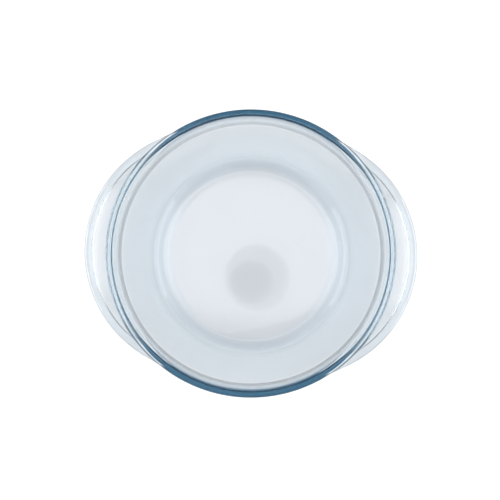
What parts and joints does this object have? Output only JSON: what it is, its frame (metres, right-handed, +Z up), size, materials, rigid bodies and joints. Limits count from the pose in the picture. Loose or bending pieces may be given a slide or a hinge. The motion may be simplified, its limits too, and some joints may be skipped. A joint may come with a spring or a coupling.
{
  "type": "glass casserole dish",
  "caption": "Open round oven dish of clear pressed glass, with two ear-shaped handles and a flat-topped rim.",
  "frame": {"origin": "on the dish's vertical axis, in the plane that its foot stands on", "axes": "+Z up along the dish's axis; +X through the middle of the right handle; +Y across the bowl, between the handles"},
  "size_m": [0.2676, 0.23, 0.085],
  "materials": {
    "glass": "clear fire-polished pressed borosilicate glass, faint blue tint that deepens where it is seen edge-on"
  },
  "bodies": {
    "root": {"base": "glass", "foot_ring": "glass", "side_wall": "glass", "rim": "glass", "right_handle": "glass", "left_handle": "glass"}
  },
  "joints": []
}
